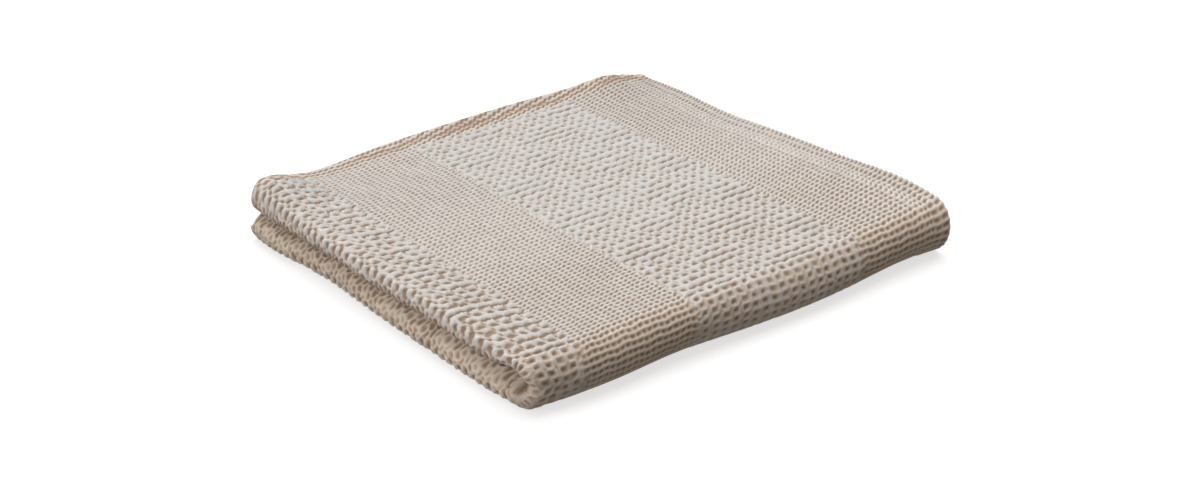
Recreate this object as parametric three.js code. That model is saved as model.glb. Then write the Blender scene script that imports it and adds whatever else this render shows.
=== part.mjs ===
// A knitted throw folded into a low pile. The cloth is doubled end to end, folded in three across its
// width, then turned over once more, so that the last fold wraps the front of the pile.
import * as THREE from "three";
import { mergeVertices } from "three/addons/utils/BufferGeometryUtils.js";

const { smoothstep } = THREE.MathUtils;

// Sizes in millimetres. X runs from the stacked folds to the hems, Y from the last fold to the open back.
const PILE_WIDTH = 430;
const PILE_DEPTH = 397;
const KNIT = 3;
const AIR = 0.75;
const HEM = 26;
const HEM_STEP = 6;
const HEM_RISE = 1.4;

// Widths of the uneven cloth behind the stacked folds and in front of the back rim.
const NOSE = 125;
const RIM = 66;

// The hems and ends lie a little askew: their drift for each millimetre along the edge.
const HEM_SLANT = 0.006;
const END_SLANT = 0.008;

// Heights of the cloth doubled once, of three doubled layers on each other, and of the whole pile.
const DOUBLED = 2 * KNIT + AIR;
const HALF_PILE = 3 * DOUBLED + 2 * AIR;
const PILE = 2 * HALF_PILE + AIR;

// A fold turns everything past its line over, about an axis above the cloth. The cloth keeps its own
// length at one radius from that axis, and is drawn out or gathered a little elsewhere.
const DOUBLING = { axis: KNIT + AIR / 2, radius: (KNIT + AIR) / 2 };
const TUCK = { axis: DOUBLED + AIR / 2, radius: (DOUBLED + AIR) / 2 };
const FLAP = { axis: HALF_PILE / 2, radius: (HALF_PILE - DOUBLED) / 2 };
const LAST = { axis: HALF_PILE + AIR / 2, radius: 16 };
for (const fold of [DOUBLING, TUCK, FLAP, LAST]) {
  fold.arc = Math.PI * fold.radius;
}

// Flat stretches of the pile between its folds, across it and along it.
const SIDE_RUN = PILE_WIDTH - FLAP.axis - TUCK.axis;
const BACK_RUN = PILE_DEPTH - LAST.axis - DOUBLING.axis;

// Where the folds lie on the flat cloth: across it from the hem that ends on top, along it from an end.
FLAP.line = SIDE_RUN + TUCK.axis + FLAP.arc;
TUCK.line = FLAP.line + SIDE_RUN;
LAST.line = BACK_RUN;
DOUBLING.line = 2 * BACK_RUN + LAST.arc;
const CLOTH_LENGTH = 2 * DOUBLING.line + DOUBLING.arc;

// How the pile differs from an even one: each push moves the cloth around a place, less and less up to
// its reach. Upward moves fade out towards the floor, so that the underside stays flat.
const PUSHES = [
  { x: -215, y: 200, z: 22, reachX: 75, reachY: 80, reachZ: 60, moveX: 0, moveY: -10, moveZ: 0 },
  { x: -196, y: 170, z: 42, reachX: 30, reachY: 36, reachZ: 22, moveX: 0, moveY: 0, moveZ: 8 },
  { x: -138, y: 198, z: 44, reachX: 42, reachY: 48, reachZ: 40, moveX: 0, moveY: 0, moveZ: -4 },
  { x: 30, y: 200, z: 44, reachX: 165, reachY: 27, reachZ: 40, moveX: 0, moveY: 0, moveZ: 7 },
  { x: 172, y: 198, z: 44, reachX: 34, reachY: 34, reachZ: 40, moveX: 0, moveY: 0, moveZ: 6 },
  { x: 0, y: 152, z: 44, reachX: 190, reachY: 26, reachZ: 40, moveX: 0, moveY: 0, moveZ: -2.5 },
  { x: 215, y: 200, z: 40, reachX: 45, reachY: 45, reachZ: 50, moveX: -6, moveY: -6, moveZ: -3 },
  { x: 215, y: 80, z: 44, reachX: 60, reachY: 70, reachZ: 40, moveX: -5, moveY: 0, moveZ: -1.5 },
  { x: 215, y: -135, z: 40, reachX: 60, reachY: 60, reachZ: 40, moveX: 4, moveY: 0, moveZ: 3 },
  { x: 215, y: -200, z: 22, reachX: 40, reachY: 45, reachZ: 40, moveX: -5, moveY: 3, moveZ: 0 },
  { x: 180, y: -200, z: 3, reachX: 60, reachY: 60, reachZ: 26, moveX: 0, moveY: 6, moveZ: 0 },
  { x: 50, y: -200, z: 10, reachX: 60, reachY: 50, reachZ: 24, moveX: 0, moveY: -3, moveZ: 0 },
  { x: -70, y: -200, z: 8, reachX: 45, reachY: 50, reachZ: 24, moveX: 0, moveY: 4, moveZ: 0 },
  { x: -215, y: -200, z: 14, reachX: 45, reachY: 45, reachZ: 40, moveX: 5, moveY: 5, moveZ: 0 },
  { x: -215, y: 160, z: 10, reachX: 60, reachY: 45, reachZ: 18, moveX: -4, moveY: 0, moveZ: 0 },
  { x: -215, y: 80, z: 10, reachX: 60, reachY: 60, reachZ: 18, moveX: 3, moveY: 0, moveZ: 0 },
  { x: -215, y: -70, z: 34, reachX: 60, reachY: 70, reachZ: 18, moveX: 3, moveY: 0, moveZ: 0 },
  { x: -40, y: -60, z: 44, reachX: 130, reachY: 90, reachZ: 40, moveX: 0, moveY: 0, moveZ: -2 },
];

// Lines of points in each flat stretch, from the stacked folds to the hems and from the back to the front.
const FROM_NOSE = evenSteps([
  { to: NOSE, steps: 5 },
  { to: SIDE_RUN + TUCK.axis - HEM, steps: 4 },
  { to: SIDE_RUN, steps: 1 },
]);
const FROM_BACK = evenSteps([
  { to: RIM, steps: 3 },
  { to: BACK_RUN, steps: 5 },
]);

// The lines on the flat cloth, in order: the stretches of each layer, and the arcs of the folds between.
const ACROSS = [
  0,
  HEM - HEM_STEP,
  ...FROM_NOSE.slice(0, -1).reverse().map((run) => FLAP.line - FLAP.arc - run),
  ...evenSteps([{ to: FLAP.arc, steps: 8 }]).slice(1, -1).map((run) => FLAP.line - FLAP.arc + run),
  ...FROM_NOSE.map((run) => FLAP.line + run),
  ...evenSteps([{ to: TUCK.arc, steps: 5 }]).slice(1).map((run) => TUCK.line + run),
  ...FROM_NOSE.slice(1, -1).reverse().map((run) => TUCK.line + TUCK.arc + SIDE_RUN - run),
];
const ONE_END = [
  ...FROM_BACK,
  ...evenSteps([{ to: LAST.arc, steps: 8 }]).slice(1).map((run) => LAST.line + run),
  ...FROM_BACK.slice(0, -1).reverse().map((run) => DOUBLING.line - run),
];
const ALONG = [
  ...ONE_END,
  ...evenSteps([{ to: DOUBLING.arc, steps: 4 }]).slice(1, -1).map((run) => DOUBLING.line + run),
  ...ONE_END.slice().reverse().map((run) => CLOTH_LENGTH - run),
];
const CLOTH_WIDTH = ACROSS.at(-1);

// Places from 0 in even steps up to each row's end.
function evenSteps(stretches) {
  const places = [0];
  for (const { to, steps } of stretches) {
    const from = places.at(-1);
    for (let step = 1; step <= steps; step += 1) {
      places.push(from + ((to - from) * step) / steps);
    }
  }
  return places;
}

// Turns a point that lies past the fold's line over, and gives its new run and height.
function turnedOver(run, height, fold) {
  const past = run - fold.line;
  if (past <= 0) {
    return [run, height];
  }
  const angle = Math.min(past / fold.radius, Math.PI);
  const reach = fold.axis - height;
  const flat = Math.max(past - fold.arc, 0);
  return [fold.line + reach * Math.sin(angle) - flat, fold.axis - reach * Math.cos(angle)];
}

// The same with the cloth before the line turned over.
function turnedBack(run, height, fold) {
  const [back, lifted] = turnedOver(-run, height, { ...fold, line: -fold.line });
  return [-back, lifted];
}

// The turned hem stands up from the outer face of the cloth, wherever no other layer lies on it.
function hemRise(across, along) {
  const onHem = 1 - smoothstep(across, HEM - HEM_STEP, HEM);
  const pastLastFold = smoothstep(along, LAST.line, LAST.line + LAST.arc);
  const beforeRim = 1 - smoothstep(along, DOUBLING.line - RIM / 2, DOUBLING.line);
  return HEM_RISE * onHem * pastLastFold * beforeRim;
}

// A point of the flat cloth, at its place in the folded pile.
function folded(across, along, height) {
  const hemShare = Math.max(1 - across / (FLAP.line - FLAP.arc), 0);
  const endShare = Math.max(1 - Math.min(along, CLOTH_LENGTH - along) / LAST.line, 0);
  let side = across + hemShare * HEM_SLANT * (along - CLOTH_LENGTH / 2);
  let run = along + endShare * END_SLANT * (across - CLOTH_WIDTH / 2);
  let lift = height - hemRise(across, along) * (1 - height / KNIT);
  [run, lift] = turnedOver(run, lift, DOUBLING);
  [side, lift] = turnedOver(side, lift, TUCK);
  [side, lift] = turnedBack(side, lift, FLAP);
  [run, lift] = turnedOver(run, HALF_PILE - lift, LAST);
  const x = side - FLAP.line + FLAP.axis - PILE_WIDTH / 2;
  const y = PILE_DEPTH / 2 - DOUBLING.axis - run;
  return new THREE.Vector3(x, y, lift);
}

// Moves a point of the even pile by all the pushes around it.
function unevened(point) {
  const moved = point.clone();
  for (const push of PUSHES) {
    const offX = (point.x - push.x) / push.reachX;
    const offY = (point.y - push.y) / push.reachY;
    const offZ = (point.z - push.z) / push.reachZ;
    const share = Math.exp(-(offX ** 2 + offY ** 2 + offZ ** 2));
    const lifted = (point.z / PILE) ** 2;
    moved.x += push.moveX * share;
    moved.y += push.moveY * share;
    moved.z += push.moveZ * share * lifted;
  }
  return moved;
}

// The cloth starts as one flat slab and is folded point by point.
function foldedCloth() {
  const across = ACROSS.length - 1;
  const along = ALONG.length - 1;
  const slab = new THREE.BoxGeometry(across, along, KNIT, across, along, 1);
  slab.deleteAttribute("normal");
  slab.deleteAttribute("uv");
  const cloth = mergeVertices(slab);
  const points = cloth.getAttribute("position");
  for (let i = 0; i < points.count; i += 1) {
    const column = Math.round(points.getX(i) + across / 2);
    const row = Math.round(points.getY(i) + along / 2);
    const place = unevened(folded(ACROSS[column], ALONG[row], points.getZ(i) + KNIT / 2));
    points.setXYZ(i, place.x, place.y, place.z);
  }
  cloth.computeBoundingBox();
  const middle = cloth.boundingBox.getCenter(new THREE.Vector3());
  cloth.translate(-middle.x, -middle.y, 0);
  cloth.computeVertexNormals();
  return cloth;
}

const yarn = new THREE.MeshStandardMaterial({ color: 0xd9d1c8, roughness: 0.95, metalness: 0 });
const throwCloth = new THREE.Mesh(foldedCloth(), yarn);
throwCloth.name = "throw_cloth";

const part = new THREE.Group();
part.add(throwCloth);

export default part;
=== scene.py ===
import math

import bmesh
import bpy
import numpy as np
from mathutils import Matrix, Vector


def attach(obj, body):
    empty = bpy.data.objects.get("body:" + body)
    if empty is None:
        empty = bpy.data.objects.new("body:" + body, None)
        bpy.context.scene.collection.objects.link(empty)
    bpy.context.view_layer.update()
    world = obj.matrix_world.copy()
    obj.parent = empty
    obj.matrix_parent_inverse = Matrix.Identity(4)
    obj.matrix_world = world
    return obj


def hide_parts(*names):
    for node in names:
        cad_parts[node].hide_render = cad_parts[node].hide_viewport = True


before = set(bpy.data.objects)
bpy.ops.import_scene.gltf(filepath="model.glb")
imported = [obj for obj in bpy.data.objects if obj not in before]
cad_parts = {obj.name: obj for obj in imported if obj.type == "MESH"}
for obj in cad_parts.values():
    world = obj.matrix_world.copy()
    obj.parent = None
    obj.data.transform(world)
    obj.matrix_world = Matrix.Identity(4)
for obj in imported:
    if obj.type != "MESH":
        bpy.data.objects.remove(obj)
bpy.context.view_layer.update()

# The folded cloth
# One length of soft undyed cotton knit, doubled end to end, folded in three across its width and turned over
# once more. This is the whole cloth as it lies in the pile. It shows only between the layers.

# All lengths on the cloth are in millimetres.
THICK = 3.0
AIR = 0.75
PILE_WIDTH = 430.0
PILE_DEPTH = 397.0
DOUBLED = 2 * THICK + AIR
HALF_PILE = 3 * DOUBLED + 2 * AIR
PILE = 2 * HALF_PILE + AIR
END_STEP_BACK = 25.0


class Fold:
    """A fold turns the cloth past its line over, about an axis at that height above the cloth."""

    def __init__(self, axis, radius):
        self.axis = axis
        self.radius = radius
        self.arc = math.pi * radius
        self.line = 0.0


doubling = Fold(THICK + AIR / 2, (THICK + AIR) / 2)
tuck = Fold(DOUBLED + AIR / 2, (DOUBLED + AIR) / 2)
flap = Fold(HALF_PILE / 2, (HALF_PILE - DOUBLED) / 2)
last = Fold(HALF_PILE + AIR / 2, 16.0)
SIDE_RUN = PILE_WIDTH - flap.axis - tuck.axis
BACK_RUN = PILE_DEPTH - last.axis - doubling.axis
flap.line = SIDE_RUN + tuck.axis + flap.arc
tuck.line = flap.line + SIDE_RUN
last.line = BACK_RUN
doubling.line = 2 * BACK_RUN + last.arc
NOSE_LINE = flap.line - flap.arc
FRONT_LINE = last.line + last.arc
CLOTH_LENGTH = 2 * doubling.line + doubling.arc
CLOTH_WIDTH = tuck.line + tuck.arc + SIDE_RUN - END_STEP_BACK

# How the pile differs from an even one, in soft ridges, troughs and leans. Each row moves the cloth around a
# place, less and less with distance over its reach: place x, y, z, then reach x, y, z, then move x, y, z.
# Moves up and down fade towards the floor.
PUSHES = np.array([
    # The far end of the stacked folds, pulled forward, with a raised tip and a dip beside it.
    (-215, 200, 22, 75, 80, 60, 0, -10, 0),
    (-196, 170, 42, 30, 36, 22, 0, 0, 8),
    (-200, 190, 42, 20, 20, 22, 0, 0, 4),
    (-138, 198, 44, 42, 48, 40, 0, 0, -2.5),
    # The back rim, a ridge along the edge with a soft trough in front of it.
    (60, 200, 44, 140, 7, 40, 0, 0, 4.5),
    (30, 200, 44, 165, 24, 40, 0, 0, 2),
    (172, 198, 44, 34, 34, 40, 0, 0, 6),
    (10, 182, 44, 170, 10, 40, 0, 0, -1.5),
    (0, 152, 44, 190, 26, 40, 0, 0, -1.5),
    # The hemmed side, drawn in at the far corner and the middle, and out towards the front.
    (215, 200, 40, 45, 45, 50, -6, -6, -3),
    (215, 80, 44, 60, 70, 40, -6, 0, -2),
    (215, -135, 40, 60, 60, 40, 4, 0, 3),
    # The front fold's two corners and its foot, which goes in and out along the floor.
    (215, -200, 22, 40, 45, 40, -5.5, 0.5, 0),
    (175, -200, 3, 50, 60, 26, 0, 5, 0),
    (50, -200, 10, 60, 50, 24, 0, -3, 0),
    (-70, -200, 8, 45, 50, 24, 0, 4, 0),
    (-215, -200, 14, 45, 45, 40, 5, 5, 0),
    # The stacked folds, in and out along their length.
    (-215, 160, 10, 60, 50, 18, -5, 0, 0),
    (-215, 80, 10, 60, 60, 18, 3, 0, 0),
    (-215, -70, 34, 60, 70, 18, 3, 0, 0),
    # The crease between them, deeper towards the front, where it opens in a pocket.
    (-215, 150, 22, 22, 120, 4, 3, 0, 0),
    (-215, -90, 22, 22, 130, 4.5, 5, 0, 0),
    (-215, -166, 22, 22, 20, 6.5, 10, 0, 0),
    (-212, -168, 16, 16, 13, 6, 0, 0, -14),
    (-212, -168, 30, 16, 13, 6, 0, 0, 4),
    # A slack dip in the top.
    (-40, -60, 44, 130, 90, 40, 0, 0, -2),
])

# How far the top hem and the loose ends lie askew, for each millimetre along them.
HEM_SLANT = 0.006
END_SLANT = 0.008


def turned_over(run, height, fold, line):
    """The place of a point after the cloth past the line is turned over the fold."""
    past = np.maximum(run - line, 0.0)
    angle = np.minimum(past / fold.radius, math.pi)
    reach = fold.axis - height
    flat = np.maximum(past - fold.arc, 0.0)
    over = run > line
    turned_run = np.where(over, line + reach * np.sin(angle) - flat, run)
    turned_height = np.where(over, fold.axis - reach * np.cos(angle), height)
    return turned_run, turned_height


def in_pile(across, along, height):
    """Points of the flat cloth at their places in the uneven pile, before it is centred."""
    hem_share = np.maximum(1 - across / NOSE_LINE, 0.0)
    end_share = np.maximum(1 - np.minimum(along, CLOTH_LENGTH - along) / last.line, 0.0)
    side = across + hem_share * HEM_SLANT * (along - CLOTH_LENGTH / 2)
    run = along + end_share * END_SLANT * (across - CLOTH_WIDTH / 2)
    # Doubled end to end, folded in three by the tuck and the flap, then turned over the front fold.
    run, lift = turned_over(run, height, doubling, doubling.line)
    side, lift = turned_over(side, lift, tuck, tuck.line)
    back, lift = turned_over(-side, lift, flap, -flap.line)
    run, lift = turned_over(run, HALF_PILE - lift, last, last.line)
    even = np.stack([
        -back - flap.line + flap.axis - PILE_WIDTH / 2,
        PILE_DEPTH / 2 - doubling.axis - run,
        lift,
    ], axis=-1)
    moved = even.copy()
    lifted = (even[..., 2] / PILE) ** 2
    for push in PUSHES:
        share = np.exp(-(((even - push[0:3]) / push[3:6]) ** 2).sum(axis=-1))
        moved[..., 0] += push[6] * share
        moved[..., 1] += push[7] * share
        moved[..., 2] += push[8] * share * lifted
    return moved


# The pile is centred over the origin, as the solid is.
sample_across, sample_along = np.meshgrid(np.linspace(0, CLOTH_WIDTH, 400), np.linspace(0, CLOTH_LENGTH, 700))
sample = in_pile(sample_across, sample_along, np.zeros_like(sample_across)).reshape(-1, 3)
MIDDLE = (sample.min(axis=0) + sample.max(axis=0)) / 2 * (1, 1, 0)


def folded(across, along, height):
    """Points of the flat cloth at their places in the pile, in metres, with nothing under the floor."""
    places = in_pile(across, along, height) - MIDDLE
    places[..., 2] = np.maximum(places[..., 2], 0.0)
    return places / 1000


class Wire:
    """A node's output, for shader maths written as plain expressions."""

    def __init__(self, socket):
        self.socket = socket

    @staticmethod
    def node(tree, kind, settings=None, inputs=None, output=0):
        """A new node with its settings and the values or wires of its inputs, as a wire from its output."""
        made = tree.nodes.new(kind)
        for key, value in (settings or {}).items():
            setattr(made, key, value)
        for key, value in (inputs or {}).items():
            if isinstance(value, Wire):
                tree.links.new(value.socket, made.inputs[key])
            else:
                made.inputs[key].default_value = value
        return Wire(made.outputs[output])

    def maths(self, operation, first, second):
        """A Math node on two values or wires, in this wire's tree."""
        tree = self.socket.id_data
        return Wire.node(tree, "ShaderNodeMath", {"operation": operation}, {0: first, 1: second})

    def __add__(self, other):
        return self.maths("ADD", self, other)

    def __radd__(self, other):
        return self.maths("ADD", other, self)

    def __mul__(self, other):
        return self.maths("MULTIPLY", self, other)

    def __rmul__(self, other):
        return self.maths("MULTIPLY", other, self)

    def sine(self):
        return self.maths("SINE", self, 0.0)


# The yarn's colour carries painted shade: paler on the rows' tops, darker on their flanks and browner down in
# the holes, where shade falls. It is painted warmer where the knit is drawn over a fold and lies in shade,
# and the floats of the raised bands are a little duller than the plain rows.
WARM_HOLE_SHADE = (0.33, 0.225, 0.15, 1)
COOL_HOLE_SHADE = (0.37, 0.285, 0.205, 1)
WARM_SIDE = (0.55, 0.435, 0.335, 1)
COOL_SIDE = (0.54, 0.475, 0.41, 1)
SHADED_WARM_TOP = (0.72, 0.61, 0.505, 1)
COOL_TOP = (0.69, 0.67, 0.65, 1)
FLOAT_TOP = (0.645, 0.63, 0.615, 1)

cotton = bpy.data.materials.new("undyed_cotton")
cotton.use_nodes = True
tree = cotton.node_tree
shader = tree.nodes["Principled BSDF"]
relief_and_shade = Wire.node(tree, "ShaderNodeAttribute", {"attribute_name": "relief_and_shade"}, output="Fac")
warmth_and_shade = Wire.node(tree, "ShaderNodeAttribute", {"attribute_name": "warmth_and_shade"}, output="Fac")
knit_map = Wire.node(tree, "ShaderNodeUVMap", {"uv_map": "knit"})


def mixed(factor, first, second, blend="MIX"):
    """A mix of two colours. Other sockets of the node share the colours' names, so these go by number."""
    settings = {"data_type": "RGBA", "clamp_factor": True, "blend_type": blend}
    return Wire.node(tree, "ShaderNodeMix", settings, {0: factor, 6: first, 7: second}, output=2)


def stepped(value, low, high):
    """A smooth step from 0 to 1 between two values."""
    settings = {"interpolation_type": "SMOOTHSTEP"}
    sockets = {"Value": value, "From Min": low, "From Max": high}
    return Wire.node(tree, "ShaderNodeMapRange", settings, sockets)


hole_shade_colour = mixed(warmth_and_shade, COOL_HOLE_SHADE, WARM_HOLE_SHADE)
side_colour = mixed(warmth_and_shade, COOL_SIDE, WARM_SIDE)
deep_shade_colour = mixed(stepped(relief_and_shade, 0.2, 0.5), hole_shade_colour, side_colour)
float_colour = mixed(stepped(warmth_and_shade, 0.4, 0.8), FLOAT_TOP, COOL_TOP)
top_colour = mixed(stepped(warmth_and_shade, 0.7, 2.0), float_colour, SHADED_WARM_TOP)
yarn_colour = mixed(stepped(relief_and_shade, 0.42, 0.72), deep_shade_colour, top_colour)

# Soft blotches and specks in the colour, and specks, twisted strands and fibres in the bump.
tone = Wire.node(tree, "ShaderNodeTexNoise", None, {"Vector": knit_map, "Scale": 45.0, "Detail": 3.0})
speck = Wire.node(tree, "ShaderNodeTexNoise", None, {"Vector": knit_map, "Scale": 420.0, "Detail": 2.0})
shade = 0.82 + tone * 0.14 + speck * 0.22
shaded = mixed(1.0, yarn_colour, shade, "MULTIPLY")
tree.links.new(shaded.socket, shader.inputs["Base Color"])
STRAND_SLANT = (0.8, 1, 0)
STRAND_PITCH = 4400.0
twist = Wire.node(
    tree, "ShaderNodeVectorMath", {"operation": "DOT_PRODUCT"},
    {0: knit_map, 1: STRAND_SLANT}, output="Value",
)
strands = (twist * STRAND_PITCH).sine()
fibre = Wire.node(tree, "ShaderNodeTexNoise", None, {"Vector": knit_map, "Scale": 1800.0, "Detail": 2.0})
bump = Wire.node(
    tree, "ShaderNodeBump", None,
    {"Strength": 0.8, "Distance": 0.0008, "Height": strands * 0.3 + fibre * 0.6 + speck},
)
tree.links.new(bump.socket, shader.inputs["Normal"])
shader.inputs["Roughness"].default_value = 0.92
shader.inputs["Specular IOR Level"].default_value = 0.2
shader.inputs["Sheen Weight"].default_value = 0.15


def cloth_piece(name, grid, columns, lines, place):
    """A flat grid moved to its folded place, with its two maps, its attributes and the yarn."""
    mesh = bpy.data.meshes.new(name)
    grid.to_mesh(mesh)
    grid.free()
    flat = np.empty(len(mesh.vertices) * 3, np.float32)
    mesh.vertices.foreach_get("co", flat)
    flat = flat.reshape(-1, 3)
    # The grid goes from -1 to 1, and a slab's inner skin lies 1 off it.
    spot = (flat[:, 0:2] + 1) / 2
    column = np.rint(spot[:, 0] * (len(columns) - 1)).astype(int)
    line = np.rint(spot[:, 1] * (len(lines) - 1)).astype(int)
    inner = np.abs(flat[:, 2]) > 0.5
    across, along, height, knit, share, warmth = place(columns[column], lines[line], inner)
    mesh.vertices.foreach_set("co", folded(across, along, height).astype(np.float32).ravel())
    for attribute, values in (("relief_and_shade", share), ("warmth_and_shade", warmth)):
        mesh.attributes.new(attribute, "FLOAT", "POINT").data.foreach_set("value", values.astype(np.float32))
    corners = np.empty(len(mesh.loops), np.int32)
    mesh.loops.foreach_get("vertex_index", corners)
    # On the map for baking, a slab's outer skin and its edges are on the left, its inner skin on the right.
    bake = spot[corners]
    if inner.any():
        on_inner = inner[corners].reshape(-1, 4)
        whole = on_inner.all(axis=1).repeat(4)
        over_rim = inner[corners] & ~whole
        bake[over_rim] = (bake[over_rim] - 0.5) * 1.02 + 0.5
        bake = bake * (0.46, 0.96) + 0.02
        bake[whole, 0] += 0.5
    for layer, places_on_map in (("OFBake", bake), ("knit", knit[corners] / 1000)):
        uv = mesh.uv_layers.new(name=layer)
        uv.uv.foreach_set("vector", places_on_map.astype(np.float32).ravel())
    mesh.update()
    # Height on the cloth is counted inwards, so the face of least height shows which way is out.
    outer_face = mesh.polygons[int(height[corners].reshape(-1, 4).sum(axis=1).argmin())]
    corner = list(outer_face.vertices)
    inside = folded(across[corner], along[corner], height[corner] + THICK)
    outward = folded(across[corner], along[corner], height[corner]) - inside
    if Vector(outward.mean(axis=0)).dot(outer_face.normal) < 0:
        mesh.flip_normals()
    mesh.shade_smooth()
    piece = bpy.data.objects.new(name, mesh)
    bpy.context.scene.collection.objects.link(piece)
    mesh.materials.append(cotton)
    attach(piece, "root")
    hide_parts("throw_cloth")
    return piece


def flat_grid(columns, lines):
    """A flat grid with one point for each column and line."""
    grid = bmesh.new()
    bmesh.ops.create_grid(grid, x_segments=len(columns) - 1, y_segments=len(lines) - 1, size=1)
    return grid


# The slab's outer skin lies this far under the face, in one even colour, so that the knit stands over it.
SUNK = 2.0
SLAB_SHARE = 0.58
SLAB_WARMTH = SLAB_SHARE + 0.3
from_nose = np.linspace(0, SIDE_RUN, 31)
from_back = np.linspace(0, BACK_RUN, 27)
across_lines = np.concatenate([
    [0.0],
    NOSE_LINE - from_nose[::-1],
    NOSE_LINE + np.linspace(0, flap.arc, 12)[1:-1],
    flap.line + from_nose,
    tuck.line + np.linspace(0, tuck.arc, 7)[1:-1],
    tuck.line + tuck.arc + SIDE_RUN - from_nose[:1:-1],
])
one_end = np.concatenate([
    from_back,
    last.line + np.linspace(0, last.arc, 14)[1:-1],
    doubling.line - from_back[::-1],
])
along_lines = np.concatenate([
    one_end,
    doubling.line + np.linspace(0, doubling.arc, 6)[1:-1],
    CLOTH_LENGTH - one_end[::-1],
])


def inside_place(across, along, inner):
    """The cloth under its knitted face, as a thin slab."""
    height = np.where(inner, THICK, SUNK)
    share = np.full_like(across, SLAB_SHARE)
    warmth = np.full_like(across, SLAB_WARMTH)
    return across, along, height, np.stack([across, along], axis=1), share, warmth


slab = flat_grid(across_lines, along_lines)
bmesh.ops.solidify(slab, geom=slab.faces[:], thickness=1)
layers = cloth_piece("folded_layers", slab, across_lines, along_lines, inside_place)

# The plain bands
# Two bands of the throw where thick soft cotton rows lie close, bridged by thin cross yarns, with a small
# hole in each cell. One band lies behind the stacked folds, the other ends in the turned and sewn hem.

# Places on the outer face, counted along the rows from the stacked folds (beyond) and across the rows from
# the front fold (up). The cloth is drawn out by these shares where it goes round the outside of a fold.
NOSE_DRAW = 1.2
FRONT_DRAW = 1.14
RIM_DRAW = 1.3
NOSE_PLACE = math.pi * flap.axis / NOSE_DRAW
FRONT_PLACE = math.pi * last.axis / FRONT_DRAW
RIM_PLACE = math.pi * doubling.axis / RIM_DRAW
TUCKED = 60.0
ROUND = THICK / 2
HALF_TURN = math.pi * ROUND


def on_cloth(beyond, up):
    """Where a place on the outer face lies on the flat cloth."""
    across = np.interp(
        beyond,
        [-NOSE_PLACE - TUCKED, -NOSE_PLACE, 0, NOSE_LINE],
        [flap.line + TUCKED, flap.line, NOSE_LINE, 0],
    )
    under_rim = BACK_RUN + RIM_PLACE
    past_rim = doubling.line + doubling.arc
    along = np.interp(
        up,
        [-FRONT_PLACE - last.line, -FRONT_PLACE, 0, BACK_RUN, under_rim, under_rim + TUCKED],
        [0, last.line, FRONT_LINE, doubling.line, past_rim, past_rim + TUCKED],
    )
    return across, along


def over_edge(run):
    """How far from the cloth's edge a run lies that goes over the rounded edge, and how far it has turned."""
    return ROUND + np.maximum(run, 0) + np.maximum(-run - HALF_TURN, 0), np.clip(-run / ROUND, 0, math.pi)


# The knit's rows and cells, and its bands counted from the stacked folds.
ROW = 4.8
FIRST_CELL = 5.65
LAST_CELL = 6.9
WIDE_ROW = 2 * ROW
WIDE_CELL = 9.5
FIRST_BAND_END = 39.5
BROAD_BAND_START = 145.0
BROAD_BAND_END = 316.0
HEM_START = 391.0
HEM_CELL = 9.3


def smooth(value, low, high):
    """A smooth step from 0 to 1 between two values."""
    share = np.clip((value - low) / (high - low), 0.0, 1.0)
    return share * share * (3 - 2 * share)


def speckle(cell, row):
    """An even scatter of numbers from 0 to 1, one for each cell."""
    value = np.sin(cell * 127.1 + row * 311.7) * 43758.5453
    return value - np.floor(value)


def dimple(off_cell, off_row, half_cell, half_row, square):
    """Depth of a soft hole from 0 to 1. A higher square makes it flatter, with squarer corners."""
    return np.exp(-np.abs(off_cell / half_cell) ** square - np.abs(off_row / half_row) ** square)


def near_front(up):
    """1 towards the front of the top, where the knit is a little more open, and 0 towards the back."""
    return 1 - smooth(up, 60, 160)


def plain_knit(beyond, up, drawn_out):
    """Height of the plain knit, from 0 in its holes to 1 on its rows. The hem has wider cells past a seam."""
    far = beyond > BROAD_BAND_START
    on_top = 1 - drawn_out
    near = near_front(up)
    # Rows run a little aslant on the top, and lie closer in some places than in others.
    tilt = np.where(far, 0.22 * (beyond - BROAD_BAND_END), 0.0004 * (300 - up) * (beyond - BROAD_BAND_START))
    up = up - tilt * smooth(up, -40, 80) + 1.8 * np.cos(2 * math.pi * (up - 125) / 230)
    # The hem starts with two narrow cells at its seam and goes on with wide ones.
    into_hem = (beyond - HEM_START) / HEM_CELL
    cell = beyond / np.where(far, LAST_CELL, FIRST_CELL)
    cell = np.where((into_hem > 0) & (into_hem < 1), 2 * into_hem - 0.5, cell)
    cell = np.where(into_hem >= 1, into_hem - 0.5, cell)
    row = up / ROW - (0.07 * on_top + 0.02) * np.sin(2 * math.pi * cell)
    off_cell = cell - np.round(cell)
    off_row = row - np.floor(row) - 0.5
    stitch = speckle(np.round(cell), np.floor(row)) - 0.5
    half_cell = 0.40 + 0.03 * near - 0.06 * drawn_out + 0.06 * stitch
    half_row = 0.24 + 0.07 * near - 0.02 * drawn_out
    square = 2.2 + 1.0 * drawn_out
    hole = dimple(off_cell + 0.06 * stitch, off_row - 0.2 * on_top * off_cell, half_cell, half_row, square)
    groove = np.cos(math.pi * off_row) ** 2
    sewn_over = np.exp(-((into_hem - 0.5) / 0.45) ** 4)
    depth = 0.56 + 0.14 * near + 0.3 * smooth(up, 200, 290) - 0.02 * drawn_out + 0.12 * stitch
    return 1 - (0.38 - 0.16 * drawn_out) * groove - depth * hole * (1 - 0.3 * sewn_over * on_top)


# The chart of the raised knit, in its wide rows and cells.
ZIGZAG_ROWS = 8
ZIGZAG_CELLS = 9
FIRST_BAND_CELLS = 8


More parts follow.
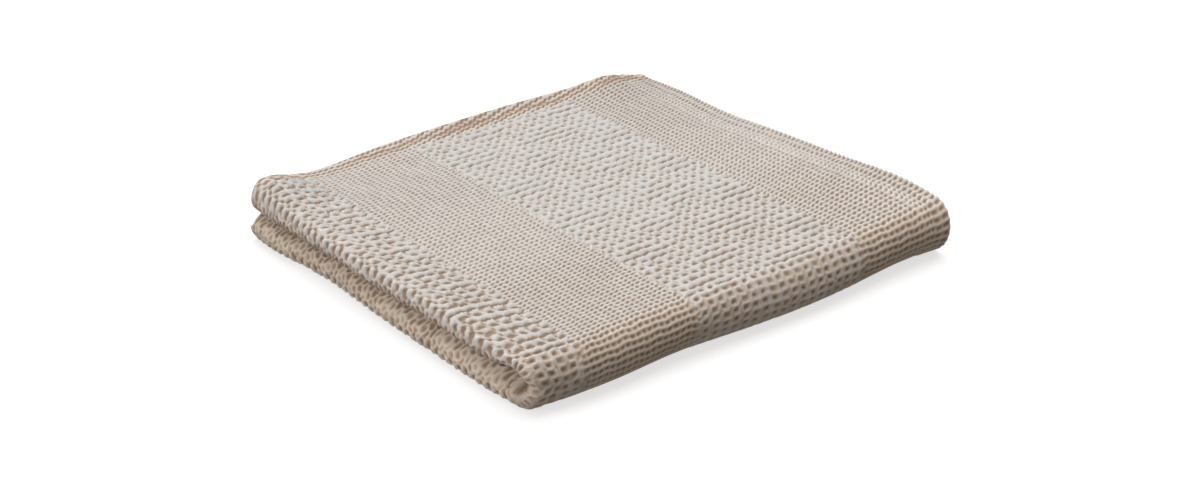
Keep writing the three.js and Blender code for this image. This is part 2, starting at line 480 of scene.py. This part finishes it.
def chart(cell, row):
    """1 where a small hole breaks a row of the raised knit, 0 where it floats on.

    The broad band has zigzags that cross. The band on the folds has broken and floating rows in turn.
    """
    turn = np.abs(np.mod(row, ZIGZAG_ROWS) - ZIGZAG_ROWS / 2)
    place = np.mod(cell, ZIGZAG_CELLS)
    from_line = np.minimum(np.abs(place - turn), np.abs(place - ZIGZAG_ROWS + turn))
    broken = np.where(from_line < 1.2, 1.0, 0.0)
    stray = speckle(cell + 0.5, row)
    broken = np.where(stray < 0.08, 1 - broken, broken)
    in_turn = np.where(cell < 1, 1.0, np.mod(row, 2))
    return np.where((cell < FIRST_BAND_CELLS) & (stray < 0.7), in_turn, broken)


def between(first, second, share):
    """The first value at a share of 0 and the second at a share of 1."""
    return first + (second - first) * share


# The net on the stacked folds is finer than the rows and cells that it grows from.
STRANDS_IN_ROW = 1.6
PITS_IN_CELL = 1.8


def fold_net(cell, row):
    """Height of the net where it is drawn over a fold: thin wavy strands with uneven pits between them."""
    strand = STRANDS_IN_ROW * row + 0.16 * np.sin(2 * math.pi * (cell + 0.37 * row))
    strand += 0.12 * np.sin(3.8 * cell - 1.4 * row)
    gap = np.floor(strand)
    off_strand = strand - gap - 0.5
    place = PITS_IN_CELL * cell + 0.5 * np.mod(gap, 2)
    stitch = speckle(np.round(place) + 0.25, gap) - 0.5
    off_place = place - np.round(place) + 0.2 * stitch
    pit = dimple(off_place, off_strand, 0.50 + 0.12 * stitch, 0.45 + 0.1 * stitch, 3.2)
    return 1 - 0.08 * np.cos(math.pi * off_strand) ** 2 - (0.64 + 0.3 * stitch) * pit


# Rows come closer where the raised knit goes down the front fold, by this many for each millimetre.
CLOSER_ROWS = 0.065


def raised_knit(beyond, up, drawn_out):
    """Height of the raised knit, from 0 in its wide holes to 1 on its floats.

    It has slits between floats on the top, square holes on the front fold and a net on the stacked folds.
    """
    on_top = 1 - drawn_out
    netted = 1 - smooth(beyond, 25, FIRST_BAND_END + 6)
    cell = beyond / WIDE_CELL
    skew = 0.25 * np.clip(FIRST_BAND_END / WIDE_CELL - cell, 0, 5) * smooth(up, -10, 70)
    on_fold = on_top * (1 - smooth(beyond, -17, -8))
    row = up / WIDE_ROW + CLOSER_ROWS * np.clip(up, -FRONT_PLACE, 0) - skew
    row -= 0.05 * on_top * np.sin(2 * math.pi * cell)
    column = np.round(cell)
    gap = np.floor(row)
    off_cell = cell - column
    off_row = row - gap - 0.5
    stitch = speckle(column, gap) - 0.5
    other = speckle(column + 0.5, gap) - 0.5
    near = on_top * near_front(up)
    # Holes lie between the rows: slits under a float, shorter pits under a break, squares on the front fold.
    under_break = np.maximum(chart(column - 1, gap + 1), chart(column, gap + 1))
    half_cell = between(0.58, 0.25 + 0.04 * netted, under_break) + (0.10 + 0.12 * netted) * other
    half_cell = between(half_cell + 0.02 * near, 0.33, drawn_out)
    half_row = between(0.12 + 0.03 * netted, 0.145 + 0.085 * netted, under_break) + 0.05 * stitch
    half_row = between(half_row + 0.04 * near, 0.36, drawn_out)
    square = 2.0 + 2.6 * drawn_out
    aslant = on_top * (0.04 + 0.12 * off_cell + 0.10 * other)
    hole = dimple(off_cell + (0.12 + 0.14 * netted) * stitch, off_row - aslant, half_cell, half_row, square)
    # A small hole breaks the row itself where the chart says so.
    course = np.round(row)
    half_way = np.floor(cell) + 0.5
    broken = chart(np.floor(cell), course)
    off_break = cell - half_way - 0.2 * (row - course)
    small_hole = broken * dimple(off_break, row - course, 0.145 + 0.03 * netted, 0.23, 2.0)
    # Grooves part the rows, strands show on the floats, and a loop rings each square on the front fold.
    groove = np.cos(math.pi * off_row) ** 2
    strand = 0.6 * np.sin(2 * math.pi * (3 * cell - 2.2 * row + 0.5 * stitch))
    strand = between(strand, np.cos(2 * math.pi * (cell + row)), under_break)
    strand += 0.8 * netted * np.sin(2 * math.pi * (2.6 * cell + 1.7 * row + 0.4 * stitch))
    from_ring = np.maximum(np.abs(off_cell) / 0.27, np.abs(off_row) / 0.23) - 1
    loop = np.exp(-((from_ring / 0.3) ** 2)) * np.where(stitch > -0.1, 0.30, 0.12) * drawn_out
    depth = 0.52 + (0.1 + 0.24 * netted) * on_top - 0.02 * drawn_out + 0.2 * stitch
    height = 1 - ((0.38 + 0.06 * near) * on_top + 0.15 * drawn_out) * groove
    height -= (depth + 0.08 * near) * hole
    height -= (0.68 + 0.4 * other - 0.4 * drawn_out) * small_hole
    height += 0.18 * strand * (1 - hole) * on_top + loop
    return between(height, fold_net(cell, row), on_fold)


def wandering(beyond, up):
    """Places on the knit, whose rows and cells wander a little."""
    drift_up = 0.7 * np.sin(0.021 * beyond + 0.013 * up + 0.7) + 0.4 * np.sin(0.055 * beyond - 0.031 * up)
    drift_up += 0.35 * np.sin(0.24 * beyond + 0.09 * up) + 0.25 * np.sin(0.41 * beyond - 0.17 * up + 1.3)
    drift_beyond = 0.8 * np.sin(0.034 * up + 0.4) + 0.5 * np.sin(0.071 * up + 0.02 * beyond + 2.0)
    drift_beyond += 0.4 * np.sin(0.26 * up - 0.11 * beyond) + 0.3 * np.sin(0.37 * up + 0.19 * beyond + 0.5)
    return beyond + drift_beyond, up + drift_up


def raised_share(beyond, up, up_knit, drawn_out):
    """1 on the raised bands and 0 elsewhere, with ragged edges that are softer on the front fold."""
    ragged = 1.5 * np.where(np.mod(np.round(up_knit / WIDE_ROW), 2) < 1, 1, -1)
    soft = 2 + 4 * drawn_out
    raised = 1 - smooth(beyond + ragged, FIRST_BAND_END - soft, FIRST_BAND_END + soft)
    raised += smooth(beyond - ragged, BROAD_BAND_START - soft, BROAD_BAND_START + soft)
    raised -= smooth(beyond + ragged, BROAD_BAND_END - soft, BROAD_BAND_END + soft)
    return raised * (1 - smooth(up, BACK_RUN - 19, BACK_RUN - 13) * smooth(beyond, 50, 90))


def rim_shade(beyond, up):
    """How much painted shade darkens and warms the face of the back rim, uneven along the rim and from stitch
    to stitch.
    """
    ragged_rim = up - BACK_RUN + 7 + 1.2 * np.sin(0.11 * beyond) + 0.9 * np.sin(0.29 * beyond + 1.0)
    rim_face_shade = np.exp(-((ragged_rim / (4.5 + 1.2 * np.sin(0.043 * beyond - 1.5))) ** 2))
    rim_face_shade *= (0.6 + 0.4 * smooth(beyond, 60, 150)) * (0.75 + 0.15 * np.sin(0.07 * beyond))
    rim_face_shade *= 1 + 0.35 * np.sin(0.95 * beyond + 0.7 * up) + 0.25 * np.sin(0.31 * beyond - 0.9 * up)
    return rim_face_shade


# How far the plain knit's holes and rows go from the even face, in millimetres. The least share keeps the
# bottom of a hole off the slab under it.
HOLE_DEPTH = 1.6
ROW_RISE = 0.5
LEAST_SHARE = 0.03


def knit_height(beyond, up):
    """Relief of the outer face in millimetres, its share from holes to row tops with painted shade, and its
    warmth, which also carries painted shade.
    """
    beyond_knit, up_knit = wandering(beyond, up)
    drawn_out = (1 - smooth(up, -15, 4)) * smooth(up, -FRONT_PLACE - 15, -FRONT_PLACE)
    raised = raised_share(beyond, up, up_knit, drawn_out)
    plain = plain_knit(beyond_knit, up_knit, drawn_out)
    wide = raised_knit(beyond_knit, up_knit, drawn_out)
    share = np.clip(plain * (1 - raised) + wide * raised, LEAST_SHARE, 1.0)

    # The relief is flatter on the rim and the front fold, and lies down in the crease and under the edges.
    in_hem = smooth(beyond, HEM_START - 3, HEM_START + 3)
    seam = np.exp(-((beyond - HEM_START + 2) / 2.5) ** 2)
    in_crease = smooth(-beyond, NOSE_PLACE - 4, NOSE_PLACE + 6)
    under_rim = smooth(up, BACK_RUN + RIM_PLACE - 3, BACK_RUN + RIM_PLACE + 3)
    under_hem = smooth(beyond, NOSE_LINE, NOSE_LINE + 3)
    low = -HOLE_DEPTH - 0.4 * raised + 0.3 * in_hem
    high = ROW_RISE + 0.4 * raised * (1 - 0.6 * drawn_out) + 0.4 * in_hem
    high *= (1 - in_crease) * (1 - under_rim) * (1 - under_hem)
    flatter = 0.85 * smooth(up, BACK_RUN - 16, BACK_RUN - 9) + 0.3 * drawn_out * (1 - raised)
    relief_height = low + (high - low) * between(share, 0.7, flatter) - 0.6 * seam

    # Painted warm shade: the yarn is warmer where it lies in shade, on the front fold, on the rim and towards
    # the stacked folds, most on the lower one. The plain bands are a little warmer than the raised ones.
    upper = smooth(up, -FRONT_PLACE - 8, -FRONT_PLACE + 4)
    warm_shade_by_fold = 0.4 * (1 - smooth(beyond, 10, 60)) + 0.35 * (1 - smooth(beyond, 15, 45))
    warm_shade_over_fold = 0.6 * (1 - smooth(beyond, -20, 5))
    warmth = 0.8 - 0.4 * raised + warm_shade_by_fold * (1.6 - 1.4 * upper) + warm_shade_over_fold * (1 - 0.5 * upper)
    warmth += 0.7 * drawn_out + 0.4 * smooth(up, BACK_RUN - 16, BACK_RUN - 7)

    # The share that is shown carries painted shade: it is lower on the front fold, where the knit stands in
    # shade, on the face of the back rim and in the crease between the stacked folds, and a little lower on
    # the upper layer near the stacked folds.
    shaded_share = between(share, between(0.14 + 0.50 * share, 0.07 + 0.58 * share, raised), drawn_out)
    rim_face_shade = rim_shade(beyond, up)
    # Painted shade in the crease between the stacked folds.
    crease_shade = smooth(-beyond - 6 * (1 - upper), 13, 20)
    shaded_share = between(shaded_share - 0.3 * rim_face_shade, 0.3, 0.6 * rim_face_shade) - (0.2 + 0.2 * upper) * crease_shade
    shaded_share -= 0.03 * (1 - smooth(beyond, 25, FIRST_BAND_END + 5)) * (1 - drawn_out) * upper
    return relief_height, shaded_share, np.clip(warmth, 0, 2)


def outer_place(beyond, up, inner):
    """Places on the outer face, with the hem's edge and the loose end rounded over."""
    relief_height, share, warmth = knit_height(beyond, up)
    across, along = on_cloth(beyond, up)
    from_hem, hem_turn = over_edge(NOSE_LINE - ROUND - beyond)
    from_end, end_turn = over_edge(up + FRONT_PLACE + last.line - ROUND)
    reach = ROUND + relief_height
    turn = np.maximum(hem_turn, end_turn)
    across = np.where(hem_turn > 0, from_hem - reach * np.sin(hem_turn), across)
    along = np.where(end_turn > 0, from_end - reach * np.sin(end_turn), along)
    height = np.where(turn > 0, ROUND - reach * np.cos(turn), -relief_height)
    return across, along, height, np.stack([beyond, up], axis=1), share, warmth


def knitted_face(name, columns, lines, place):
    """One strip of the knitted face."""
    cloth_piece(name, flat_grid(columns, lines), columns, lines, place)


BELOW_FRONT = 14.0
PAST_RIM = 10.0
PAST_HEM = HALF_TURN + 5
STEP = ROW / 6
first_line = round((-FRONT_PLACE - BELOW_FRONT) / STEP)
end_line = round((BACK_RUN + RIM_PLACE + PAST_RIM) / STEP)
up_lines = np.arange(first_line, end_line) * STEP
first_columns = np.linspace(FIRST_BAND_END, BROAD_BAND_START, 131)
last_columns = np.linspace(BROAD_BAND_END, NOSE_LINE + PAST_HEM, 139)
knitted_face("first_plain_band", first_columns, up_lines, outer_place)
knitted_face("last_plain_band_with_hem", last_columns, up_lines, outer_place)

# The broad raised band
# The middle band of the throw, knitted of the same cotton in double rows: long soft floats, broken by small
# holes along zigzags that cross. It is made in two widths side by side.
BROAD_MIDDLE = (BROAD_BAND_START + BROAD_BAND_END) / 2
knitted_face("broad_band_near", np.linspace(BROAD_BAND_START, BROAD_MIDDLE, 96), up_lines, outer_place)
knitted_face("broad_band_far", np.linspace(BROAD_MIDDLE, BROAD_BAND_END, 96), up_lines, outer_place)

# The band on the stacked folds
# The raised band along the throw's first fold, of the same cotton, with rows of slits and of pits in turn.
# It wraps round the upper and the lower fold as a thin wavy net and runs into the crease between them.
INTO_CREASE = 14.0
UNDER_FOLD = 12.0
fold_columns = np.linspace(-NOSE_PLACE - INTO_CREASE, FIRST_BAND_END, 105)
lower_columns = np.linspace(-NOSE_PLACE - INTO_CREASE, UNDER_FOLD, 70)
end_place = -FRONT_PLACE - last.line - PAST_HEM
lower_lines = np.linspace(end_place, up_lines[0], round((up_lines[0] - end_place) / STEP))
knitted_face("upper_fold_band", fold_columns, up_lines, outer_place)
knitted_face("lower_fold_band", lower_columns, lower_lines, outer_place)

# The underside
# The same cotton knit where the pile lies on the floor, pressed flat, with the hem and the loose end turned
# over at its edges.
under_columns = np.linspace(UNDER_FOLD, NOSE_LINE + PAST_HEM, 170)
under_lines = np.linspace(end_place, up_lines[0], 152)
knitted_face("underside", under_columns, under_lines, outer_place)

# The folds and edges inside the pile
# Where the other layers of the cloth come to the side and to the back: the tucked fold and the second hem on
# the side, the doubled rims and the loose ends at the back. All are the same cotton knit with its bands.
TUCK_MIDDLE = tuck.line + tuck.arc / 2
TUCK_BEYOND = 385
INNER_DRAW = 0.93
INNER_RISE = 0.3
LAP = 10.0


def inner_beyond(across):
    """The place among the bands on the inner layers, which mirror the top layer about the tucked fold."""
    return TUCK_BEYOND - INNER_DRAW * np.abs(across - TUCK_MIDDLE)


def inner_place(across, up, inner):
    """Places on the folds of the inner layers."""
    relief_height, share, warmth = knit_height(inner_beyond(across), up)
    along = on_cloth(across, up)[1]
    height = -np.minimum(relief_height, INNER_RISE)
    return across, along, height, np.stack([across, up], axis=1), share, warmth


def second_hem_place(run, along, inner):
    """Places over the rounded edge of the second hem."""
    from_edge, turn = over_edge(run)
    up = CLOTH_LENGTH - along - FRONT_LINE
    relief_height, share, warmth = knit_height(NOSE_LINE - run, up)
    reach = ROUND + np.minimum(relief_height, INNER_RISE)
    across = from_edge - reach * np.sin(turn)
    height = ROUND - reach * np.cos(turn)
    return across, along, height, np.stack([run, along], axis=1), share, warmth


def near_end_place(across, run, inner):
    """Places over the rounded edge at one loose end of the cloth."""
    from_edge, turn = over_edge(run)
    relief_height, share, warmth = knit_height(inner_beyond(across), run - FRONT_PLACE - last.line)
    reach = ROUND + np.minimum(relief_height, INNER_RISE)
    along = from_edge - reach * np.sin(turn)
    height = ROUND - reach * np.cos(turn)
    return across, along, height, np.stack([across, run], axis=1), share, warmth


def far_end_place(across, run, inner):
    """Places over the rounded edge at the other loose end."""
    across, from_end, height, knit, share, warmth = near_end_place(across, run, inner)
    return across, CLOTH_LENGTH - from_end, height, knit, share, warmth


edge_runs = np.linspace(LAP, -HALF_TURN - LAP, 17)
tuck_columns = np.linspace(tuck.line - LAP, tuck.line + tuck.arc + LAP, 29)
tuck_lines = np.linspace(-FRONT_PLACE - last.line, BACK_RUN, 640)
rim_columns = np.linspace(flap.line, CLOTH_WIDTH, 620)
rim_lines = np.linspace(BACK_RUN - LAP, BACK_RUN + RIM_PLACE + LAP, 20)
hem_lines = np.linspace(doubling.line + doubling.arc, CLOTH_LENGTH, 560)
knitted_face("tucked_fold", tuck_columns, tuck_lines, inner_place)
knitted_face("back_rims", rim_columns, rim_lines, inner_place)
knitted_face("second_hem", edge_runs, hem_lines, second_hem_place)
knitted_face("near_loose_ends", np.linspace(flap.line, CLOTH_WIDTH, 500), edge_runs, near_end_place)
knitted_face("far_loose_ends", np.linspace(0, CLOTH_WIDTH, 770), edge_runs, far_end_place)

CLOTH_WIDTH / 1000
CLOTH_LENGTH / 1000

# Floor, light and camera
# A plain pale floor that glows a little, so that the shadows on it stay soft. One wide soft light comes from
# above and behind, and a second from the side of the stacked folds. The camera has the photograph's view.
FLOOR_GAP = 0.0003
floor_grid = bmesh.new()
bmesh.ops.create_grid(floor_grid, x_segments=1, y_segments=1, size=20)
bmesh.ops.translate(floor_grid, vec=(0, 0, -FLOOR_GAP), verts=floor_grid.verts)
floor_mesh = bpy.data.meshes.new("floor")
floor_grid.to_mesh(floor_mesh)
floor_grid.free()
floor = bpy.data.objects.new("floor", floor_mesh)
bpy.context.scene.collection.objects.link(floor)
pale = bpy.data.materials.new("pale_floor")
pale.use_nodes = True
lit_floor = pale.node_tree.nodes["Principled BSDF"].inputs
lit_floor["Base Color"].default_value = (0.38, 0.38, 0.38, 1)
lit_floor["Emission Color"].default_value = (1, 1, 1, 1)
lit_floor["Emission Strength"].default_value = 0.66
lit_floor["Roughness"].default_value = 0.9
lit_floor["Specular IOR Level"].default_value = 0.0
floor.visible_diffuse = False
floor_mesh.materials.append(pale)

world = bpy.data.worlds.new("studio")
bpy.context.scene.world = world
world.use_nodes = True
room_light = world.node_tree.nodes["Background"].inputs
room_light["Color"].default_value = (1, 0.94, 0.86, 1)
room_light["Strength"].default_value = 0.22


def soft_light(name, energy, spread, towards):
    """A wide soft light, its spread in degrees, that shines in one direction."""
    glow = bpy.data.lights.new(name, "SUN")
    glow.energy = energy
    glow.angle = math.radians(spread)
    light = bpy.data.objects.new(name, glow)
    light.rotation_euler = Vector(towards).to_track_quat("-Z", "Y").to_euler()
    bpy.context.scene.collection.objects.link(light)


soft_light("overhead_softbox", energy=2.83, spread=65, towards=(-0.26, -0.22, -0.94))
soft_light("side_softbox", energy=1.95, spread=60, towards=(0.9, -0.1, -0.38))

EYE_BACK = Vector((-0.5609, -0.7033, 0.4368))
EYE_DISTANCE = 1.669
LOOK_AT = Vector((0.009, 0.0068, 0))
camera_data = bpy.data.cameras.new("camera")
camera_data.sensor_width = 36
camera_data.lens = 60
camera = bpy.data.objects.new("camera", camera_data)
camera.location = LOOK_AT + EYE_BACK * EYE_DISTANCE
camera.rotation_euler = (-EYE_BACK).to_track_quat("-Z", "Y").to_euler()
bpy.context.scene.collection.objects.link(camera)
bpy.context.scene.camera = camera
bpy.context.scene.view_settings.view_transform = "Standard"
